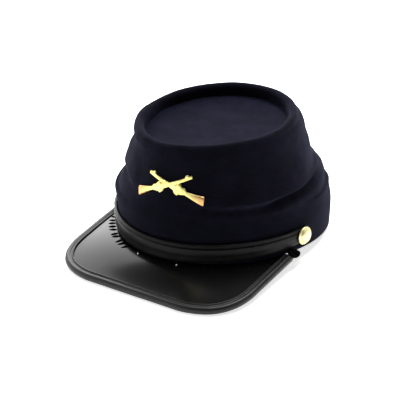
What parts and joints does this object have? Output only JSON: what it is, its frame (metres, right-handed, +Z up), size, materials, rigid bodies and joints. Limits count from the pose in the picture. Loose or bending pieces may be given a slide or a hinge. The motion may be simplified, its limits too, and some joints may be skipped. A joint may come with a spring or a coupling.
{
  "type": "kepi cap",
  "caption": "Soft wool kepi cap with a leaning slumped crown, sunken round top, cloth band, bound leather peak, chin strap on brass side buttons and a crossed-rifles badge.",
  "frame": {"origin": "the middle of the footprint, on the surface that the cap rests on", "axes": "-Y is the front, where the peak points; +X is the wearer's left; +Z is up. The cap is modelled as it rests, on the peak's front edge and the back of the band."},
  "size_m": [0.1818, 0.2372, 0.1079],
  "materials": {
    "wool": "dark navy felted wool",
    "leather": "polished black leather",
    "brass": "bright brass"
  },
  "bodies": {
    "root": {"crown_side": "wool", "crown_rim": "wool", "crown_top": "wool", "band": "wool", "peak": "leather", "peak_binding": "leather", "chin_strap": "leather", "button_left": "brass", "button_right": "brass", "rifle_badge": "brass"}
  },
  "joints": []
}
